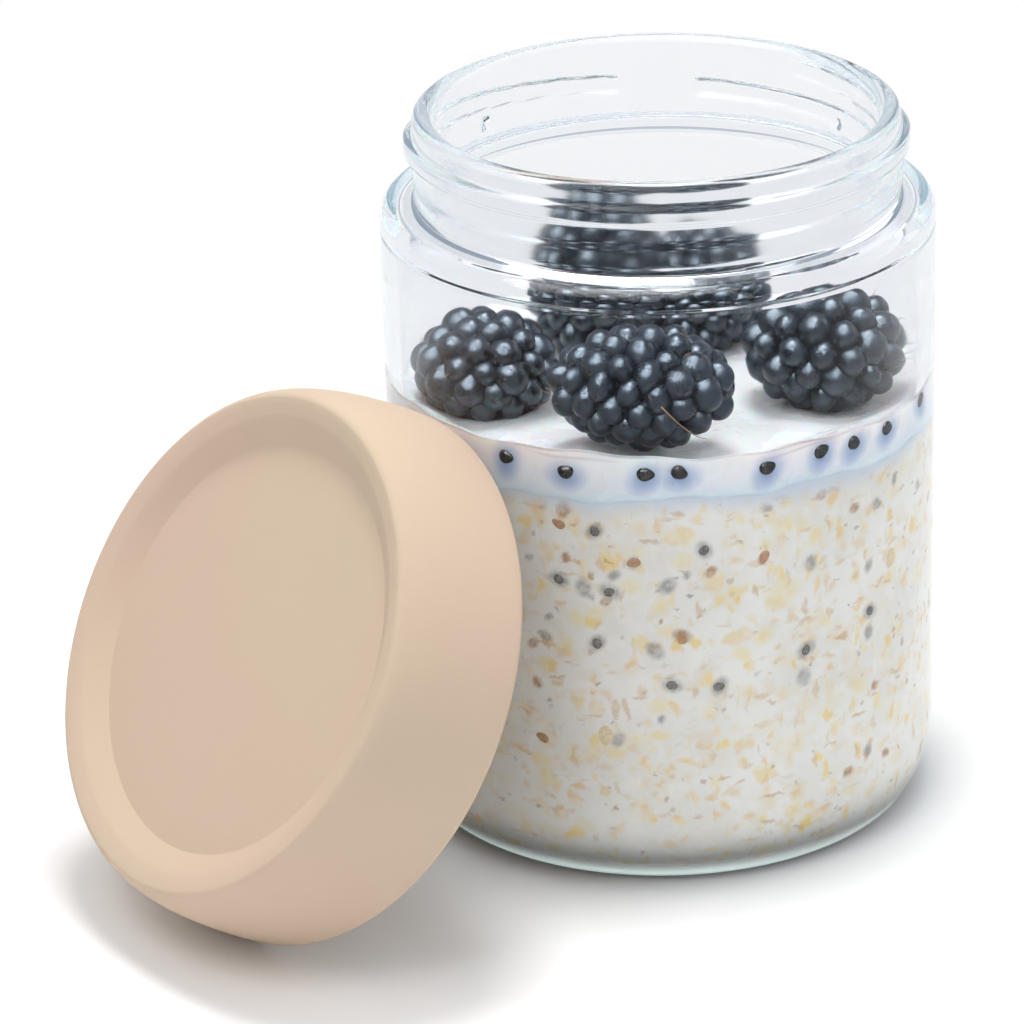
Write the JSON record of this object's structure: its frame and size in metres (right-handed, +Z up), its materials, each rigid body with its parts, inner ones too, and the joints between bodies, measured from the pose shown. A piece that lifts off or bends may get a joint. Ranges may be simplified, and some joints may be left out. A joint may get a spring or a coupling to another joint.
{
  "type": "overnight oats jar",
  "caption": "Wide-mouth glass jar of soaked oats, yogurt and blackberries, open, with its plastic screw lid leaning on its wall.",
  "frame": {"origin": "on the surface that the jar and the lid stand on, in the middle of the outline of both", "axes": "+Z up along the jar's axis, +X from the leaning lid towards the jar, +Y across"},
  "size_m": [0.1449, 0.0878, 0.1134],
  "materials": {
    "clear_glass": "polished",
    "matte_beige": "matte",
    "white_silicone": "satin",
    "soaked_oats": "satin",
    "plain_yogurt": "satin",
    "berry": "gloss",
    "dark_chia": "satin",
    "grey_chia": "satin",
    "flax": "satin",
    "oat_flake": "matte"
  },
  "bodies": {
    "jar": {"berry_back": "berry", "berry_front": "berry", "berry_left": "berry", "berry_right": "berry", "berry_tall": "berry", "flax_seed_01": "flax", "flax_seed_02": "flax", "flax_seed_03": "flax", "flax_seed_04": "flax", "flax_seed_05": "flax", "glass_jar": "clear_glass", "oat_flake_01": "oat_flake", "oat_flake_02": "oat_flake", "oat_flake_03": "oat_flake", "oat_flake_04": "oat_flake", "oat_flake_05": "oat_flake", "oat_flake_06": "oat_flake", "oat_flake_07": "oat_flake", "oat_flake_08": "oat_flake", "oat_flake_09": "oat_flake", "oat_flake_10": "oat_flake", "oat_flake_11": "oat_flake", "oat_flake_12": "oat_flake", "oats": "soaked_oats", "oats_chia_seed_01": "grey_chia", "oats_chia_seed_02": "grey_chia", "oats_chia_seed_03": "grey_chia", "oats_chia_seed_04": "grey_chia", "oats_chia_seed_05": "grey_chia", "oats_chia_seed_06": "grey_chia", "oats_chia_seed_07": "grey_chia", "oats_chia_seed_08": "grey_chia", "oats_chia_seed_09": "grey_chia", "oats_chia_seed_10": "grey_chia", "oats_chia_seed_11": "grey_chia", "yogurt": "plain_yogurt", "yogurt_chia_seed_01": "dark_chia", "yogurt_chia_seed_02": "dark_chia", "yogurt_chia_seed_03": "dark_chia", "yogurt_chia_seed_04": "dark_chia", "yogurt_chia_seed_05": "dark_chia", "yogurt_chia_seed_06": "dark_chia", "yogurt_chia_seed_07": "dark_chia", "yogurt_chia_seed_08": "dark_chia", "yogurt_chia_seed_09": "dark_chia", "yogurt_chia_seed_10": "dark_chia", "yogurt_chia_seed_11": "dark_chia", "yogurt_chia_seed_12": "dark_chia", "yogurt_chia_seed_13": "dark_chia"},
    "lid": {"lid": "matte_beige"},
    "seal": {"lid_seal": "white_silicone"}
  },
  "joints": [
    {"name": "lid_tip", "type": "hinge", "parent": "jar", "child": "lid", "pos_m": [-0.0642, -0.0018, 0.00915], "axis": [0, -1, 0], "range_deg": [0, 119.8]},
    {"name": "seal_slide", "type": "slide", "parent": "lid", "child": "seal", "axis": [0.8678, 0, -0.497], "range_m": [0, 0.012]}
  ]
}
